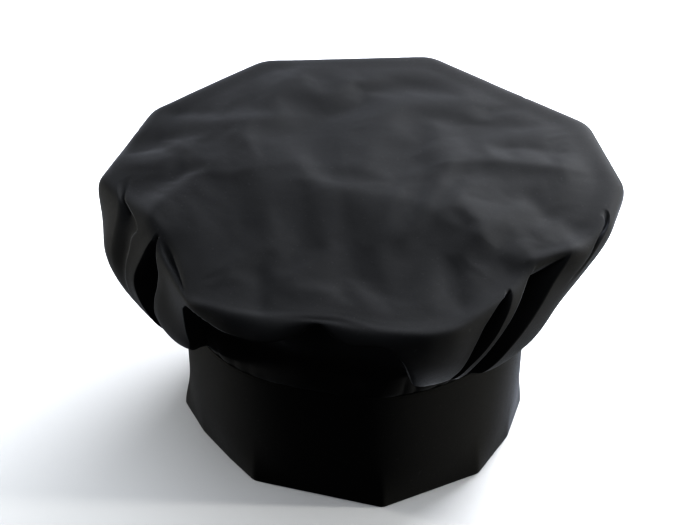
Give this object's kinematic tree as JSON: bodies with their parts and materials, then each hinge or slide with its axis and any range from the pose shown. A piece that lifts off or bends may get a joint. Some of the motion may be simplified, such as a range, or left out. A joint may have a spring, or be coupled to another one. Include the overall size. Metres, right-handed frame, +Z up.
{
  "type": "chef hat",
  "caption": "Floppy chef hat: a stiff round band for the head and a wide soft crown pleated into its upper edge.",
  "frame": {"origin": "under the middle of the crown's outline, at the height of the band's lower edge", "axes": "+Z up through the head, -Y towards the front of the hat, +X towards the hat's own left as worn"},
  "size_m": [0.2834, 0.2612, 0.147],
  "materials": {
    "band_cloth": "black cotton poplin, stiffened and pressed",
    "crown_cloth": "black cotton poplin, matt"
  },
  "bodies": {
    "root": {"band": "band_cloth", "crown": "crown_cloth"}
  },
  "joints": []
}
